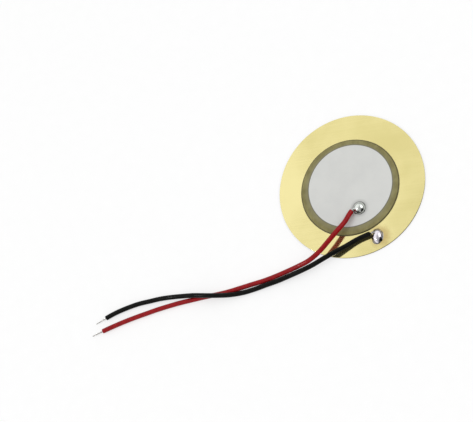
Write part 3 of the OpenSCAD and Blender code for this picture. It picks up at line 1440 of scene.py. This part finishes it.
@dataclass
class Laminate:
    """The brass plate with the glue, the ceramic and the upper print on it.

    The rings are the radii of the plain rings that divide a flat face, and the insets are
    how far in from its edge the first ones lie. The plate's wall steps in by the shear
    between two shares of its thickness. The slope is how far in and down the print's side
    ends.
    """

    plate_radius: float = 17.5
    plate_rings: tuple[float, ...] = (2.0, 5.0, 8.0, 11.0, 13.5, 15.5, 16.8)
    plate_inset: float = 0.03
    back_rings: tuple[float, ...] = (16.8, 14.0, 10.0, 6.0, 2.0)
    back_inset: float = 0.06
    roll: float = 0.06
    roll_steps: int = 7
    shear: float = 0.004
    shear_from: float = 0.55
    shear_to: float = 0.3
    burr: float = 0.015
    glue_width: float = 0.16
    glue_top: float = 0.42
    glue_lap: float = 1.0
    glue_skin: float = 0.02
    glue_tuck: float = 0.01
    glue_first: float = 8.0
    glue_steps: int = 8
    glue_outline: Outline = Outline(seed=4, size=0.035, waves=(5, 9, 14, 23, 41))
    ceramic_base: float = 0.33
    ceramic_top: float = 0.54
    ceramic_rings: tuple[float, ...] = (10.0, 6.0, 3.0)
    ceramic_insets: Span = (0.06, 0.5)
    ceramic_back_inset: float = 0.3
    ceramic_outline: Outline = Outline(seed=9, size=0.006, waves=(3, 17, 50, 71))
    ground: float = 0.02
    ground_corner: float = 0.3
    print_rings: tuple[float, ...] = (9.0, 6.0, 3.0)
    print_insets: Span = (0.05, 0.4)
    print_slope: Span = (0.012, 0.003)
    print_outline: Outline = Outline(seed=2, size=0.05, waves=(2, 7, 19, 37, 83, 140))
    sides: int = 288

    def plate(self) -> bpy.types.Object:
        """Makes the blanked plate, rolled over above and with a fine burr below.

        Returns:
            The piece.
        """
        r, t, roll, step = self.plate_radius, PLATE_TOP, self.roll, self.shear
        top = [(k, t) for k in self.plate_rings] + [(r - roll - self.plate_inset, t)]
        over = corner_curve((r, t), -roll, -roll, self.roll_steps)
        wall = [(r, t * self.shear_from), (r - step, t * self.shear_to)]
        wall += [(r - step, self.burr), (r - self.burr, 0.0)]
        under = [(r - self.back_inset, 0.0)] + [(k, 0.0) for k in self.back_rings]
        points, faces = turned(top + over + wall + under, self.sides, (0.0, 0.0))
        finishes = [Brass().build(), BlankedEdge().build()]
        piece = new_piece("blanked_plate", points, faces, finishes, sharp=35)
        for polygon in piece.data.polygons:
            middle = polygon.center / MM
            if math.hypot(middle.x, middle.y) > r - 3 * step and middle.z < t - roll / 2:
                polygon.material_index = 1
        return piece

    def glue_bead(self) -> bpy.types.Object:
        """Makes the bead of glue round the ceramic, hollow towards both.

        Returns:
            The piece.
        """
        r, low, high = CERAMIC_RADIUS, PLATE_TOP, self.glue_top
        inner, wall, film = r - self.glue_lap, r - self.glue_tuck, low + self.glue_skin
        width, steps, first = self.glue_width, self.glue_steps, self.glue_first
        hollow = corner_curve((r, low), width, high - low, steps, first)
        profile = [(inner, low), (r + width, low), *hollow, (wall, high), (wall, film)]
        profile.append((inner, film))
        points, faces = turned(profile, self.sides, CERAMIC_AT, self.glue_outline)
        return new_piece("glue_bead", points, faces, [Glue().build()], sharp=50)

    def ceramic(self) -> bpy.types.Object:
        """Makes the ceramic with its corners ground off.

        Returns:
            The piece.
        """
        r, low, high, b = CERAMIC_RADIUS, self.ceramic_base, self.ceramic_top, self.ground
        cut, (near, far) = self.ground_corner * b, self.ceramic_insets
        profile = [(self.ceramic_rings[-1], low), (r - self.ceramic_back_inset, low)]
        profile += [(r - b, low), (r, low + b), (r, high - b), (r - cut, high - cut)]
        profile += [(r - b, high), (r - near, high), (r - far, high)]
        profile += [(k, high) for k in self.ceramic_rings]
        points, faces = turned(profile, self.sides, CERAMIC_AT, self.ceramic_outline)
        return new_piece("ground_ceramic", points, faces, [Ceramic().build()], sharp=30)

    def silver(self) -> bpy.types.Object:
        """Makes the upper print, with the slightly ragged edge of screened paste.

        Returns:
            The piece.
        """
        r, low, high = PRINT_RADIUS, self.ceramic_top, PRINT_TOP
        (near, far), (back, drop) = self.print_insets, self.print_slope
        profile = [(self.print_rings[-1], low), (r - far, low), (r, low)]
        profile += [(r - back, high - drop), (r - near, high), (r - far, high)]
        profile += [(k, high) for k in self.print_rings]
        points, faces = turned(profile, self.sides * 2, PRINT_AT, self.print_outline)
        return new_piece("screened_silver", points, faces, [SilverPrint().build()], sharp=30)

    def build(self) -> None:
        """Makes the four pieces and dresses the lower print, which stays as it is."""
        stand_for(self.plate(), "brass_plate")
        stand_for(self.glue_bead(), "bond_film")
        stand_for(self.ceramic(), "ceramic_disc")
        stand_for(self.silver(), "upper_electrode")
        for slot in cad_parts["lower_electrode"].material_slots:
            slot.material = bpy.data.materials["silver"]


# ---------------------------------------------------------------- solder


@dataclass
class SolderJoint:
    """Wetted solder on a face, drawn out a little along its conductor.

    From its thin wetted foot, which meets the face at the contact angle, the outline is
    hollow up to the flank's angle, and then full up to the crown. Uneven and ragged give
    the lump's and the foot's waves: how many go round, and their share of the size.
    """

    name: str
    node: str
    finish: Solder
    lead: Lead
    foot_at: Point
    width: float
    length: float
    height: float
    foot: float
    flank: float
    lean: tuple[float, float]
    seed: int
    turn: float = 0.0
    drawn: float = 0.06
    bare: float = 0.12
    coat: float = 0.025
    contact: float = 24.0
    crown: float = 88.0
    below: float = 0.12
    uneven: tuple[tuple[int, float], ...] = ((2, 0.02), (3, 0.012))
    ragged: tuple[tuple[int, float], ...] = ((3, 0.35), (7, 0.2))
    lobe: float = 0.04
    lobe_turn: float = 1.7
    taper: float = 1.6
    neck: float = 0.8
    voxel: float = 0.042
    rounds: int = 6
    foot_steps: int = 7
    dome_steps: int = 22
    sides: int = 96
    wick_steps: int = 14
    wick_sides: int = 36

    def profile(self) -> list[tuple[float, float, float]]:
        """Works out the outline from below the face up to the crown.

        Returns:
            Width beyond the lump, share of the lump's own width, and height of each ring.
        """
        wet, side = math.radians(self.contact), math.radians(self.flank)
        start, top = np.pi / 2 - side, math.radians(self.crown)
        arc = self.foot / (math.sin(side) - math.sin(wet))
        rise = arc * (math.cos(wet) - math.cos(side))
        rings = [(self.foot + self.below * 1.3, 1.0, -self.below)]
        for a in np.linspace(wet, side, self.foot_steps, endpoint=False):
            spread = arc * (math.sin(side) - math.sin(a))
            rings.append((spread, 1.0, arc * (math.cos(wet) - math.cos(a))))
        for a in np.linspace(start, top, self.dome_steps):
            climb = (math.sin(a) - math.sin(start)) / (math.sin(top) - math.sin(start))
            share = math.cos(a) / math.cos(start)
            rings.append((0.0, share, rise + (self.height - rise) * climb))
        return rings

    def body(self) -> Shell:
        """Makes the wetted lump, carried on below its face so that it can be cut flat.

        Returns:
            Corners and faces of the lump.
        """
        angle, turn = around(self.sides), math.radians(self.turn)
        waves = (*self.uneven, *self.ragged)
        phases = np.random.default_rng(self.seed).uniform(0, 2 * np.pi, len(waves))
        swings = [size * np.sin(n * angle + p) for (n, size), p in zip(waves, phases)]
        wave = sum(swings[: len(self.uneven)], start=1)
        edge = sum(swings[len(self.uneven) :], start=1)
        rings = []
        for spread, share, up in self.profile():
            lean = (max(up, 0.0) / self.height) ** 2
            x = self.width / 2 * share * wave + spread * edge
            y = self.length / 2 * share * wave + spread * edge
            x = x * np.cos(angle) + self.lean[0] * lean
            y = y * np.sin(angle) + self.lean[1] * lean
            ring = [
                self.foot_at[0] + x * math.cos(turn) - y * math.sin(turn),
                self.foot_at[1] + x * math.sin(turn) + y * math.cos(turn),
                np.full(self.sides, self.foot_at[2] + up),
            ]
            rings.append(np.stack(ring, axis=-1))
        return skin(np.array(rings))

    def wick(self) -> Shell:
        """Makes the solder that was drawn out along the conductor, lobed by its strands.

        Returns:
            Corners and faces of the drawn-out solder.
        """
        lead = self.lead
        reach = lead.strip - self.bare
        along = np.linspace(-0.1, reach, self.wick_steps)
        share = np.clip(along / reach, 0, 1)
        radius = lead.core + self.coat + (self.drawn - self.coat) * (1 - share) ** self.taper
        radius[-1] = lead.core * self.neck
        path = np.array(lead.root) + along[:, None] * lead.out
        _, side, up = frames_along(path, lead.out, lead.out)
        angle = around(self.wick_sides)
        lobes = 1 + self.lobe * np.cos(6 * angle[None, :] - self.lobe_turn * along[:, None])
        rings = path[:, None, :] + (radius[:, None] * lobes)[:, :, None] * (
            np.cos(angle)[None, :, None] * side[:, None, :]
            + np.sin(angle)[None, :, None] * up[:, None, :]
        )
        return skin(rings)

    def build(self) -> None:
        """Fuses the lump and the drawn-out solder and cuts them flat on the face."""
        shells = join([self.body(), self.wick()])
        points, faces = melted(*shells, voxel=self.voxel, rounds=self.rounds)
        points, faces = cut_flat(points, faces, self.foot_at[2])
        piece = new_piece(self.name, points, faces, [self.finish.build()], sharp=60)
        stand_for(piece, self.node)


# ---------------------------------------------------------------- the part


def make_leads() -> tuple[Lead, Lead]:
    """Lays out both leads.

    Returns:
        The red and the black lead.
    """
    red = Lead(
        name="red",
        jacket=Jacket.RED,
        root=(-1.0925, -5.7590, 1.0),
        out=heading(202, 11),
        far=heading(176),
        strip=1.3413,
        route=[
            (-4.9, -8.0, 1.8), (-7.5, -9.3, 2.4), (-10.3, -10.6, 2.7), (-13.2, -11.7, 2.7),
            (-16.2, -12.1, 2.3), (-19.1, -11.7, 1.6), (-22.1, -11.2, 1.1), (-25.1, -10.7, 0.8),
            (-28.1, -10.1, 0.6), (-31.0, -9.4, 0.6), (-34.0, -8.7, 0.6), (-36.9, -8.0, 0.6),
            (-39.8, -7.1, 0.6), (-42.7, -6.1, 0.6), (-45.6, -5.2, 0.6), (-48.5, -4.3, 0.6),
            (-51.5, -3.5, 0.6), (-54.4, -2.8, 0.6), (-57.4, -2.2, 0.6), (-60.5, -1.6, 0.6),
            (-63.5, -1.1, 0.6), (-66.5, -0.7, 0.6), (-69.5, -0.4, 0.6),
        ],
    )
    black = Lead(
        name="black",
        jacket=Jacket.BLACK,
        root=(0.4018, -13.6675, 0.8493),
        out=heading(169, 5),
        far=heading(181),
        strip=1.5,
        fan=0.3,
        arch=0.4,
        route=[
            (-4.2, -13.0, 1.0), (-7.2, -13.1, 1.2), (-10.2, -13.2, 1.7), (-13.2, -13.3, 1.9),
            (-16.2, -13.3, 1.8), (-19.2, -13.0, 1.6), (-22.2, -12.5, 1.2), (-25.1, -12.0, 0.9),
            (-28.0, -11.4, 0.8), (-30.9, -10.8, 0.6), (-33.8, -10.1, 0.7), (-36.6, -9.2, 1.2),
            (-39.4, -7.9, 1.7), (-42.1, -6.4, 1.9), (-44.7, -4.8, 1.7), (-47.3, -3.3, 1.1),
            (-50.0, -1.9, 0.7), (-52.8, -0.7, 0.6), (-55.6, 0.2, 0.6), (-58.5, 1.1, 0.6),
            (-61.5, 1.7, 0.6), (-64.5, 2.1, 0.6), (-67.5, 2.2, 0.6),
        ],
    )
    return red, black


def make_solder(red: Lead, black: Lead) -> tuple[SolderJoint, SolderJoint]:
    """Lays out both solder joints.

    Args:
        red: lead that ends on the print.
        black: lead that ends on the brass.

    Returns:
        The round bead on the print and the oblong lump on the brass.
    """
    bead = SolderJoint(
        name="electrode_bead",
        node="electrode_solder",
        finish=Solder(
            name="solder",
            bright=(0.80, 0.83, 0.79),
            frost=(0.62, 0.65, 0.62),
            haze=0.08,
            base=PRINT_TOP,
            shaded_toe=0.42,
            dark_reflection_at=(-1.2, -7.2, 1.15),
            dark_reflection_radius=0.42,
        ),
        lead=red,
        foot_at=(-0.62, -6.27, PRINT_TOP),
        width=2.88,
        length=2.88,
        height=1.15,
        foot=0.12,
        flank=72.0,
        lean=(0.05, 0.05),
        seed=5,
    )
    lump = SolderJoint(
        name="plate_lump",
        node="plate_solder",
        finish=Solder(
            name="frosted_solder",
            bright=(0.86, 0.82, 0.88),
            frost=(0.74, 0.70, 0.76),
            haze=0.3,
            base=PLATE_TOP,
            shaded_toe=0.3,
            dark_reflection_at=(0.42, -15.75, 0.55),
            dark_reflection_radius=0.3,
        ),
        lead=black,
        foot_at=(0.0, -14.475, PLATE_TOP),
        width=2.45,
        length=3.5,
        height=0.92,
        foot=0.15,
        flank=60.0,
        lean=(0.02, 0.12),
        seed=8,
        turn=-27.0,
        bare=0.7,
    )
    return bead, lump


def main() -> None:
    """Builds the studio, the leads, the disc and the solder."""
    logging.basicConfig(level=logging.INFO, format="%(name)s: %(message)s")
    Studio().build()
    wire = TinnedWire().build()
    leads = make_leads()
    for lead in leads:
        lead.build(wire)
    Laminate().build()
    for joint in make_solder(*leads):
        joint.build()


if __name__ == "__main__":
    main()
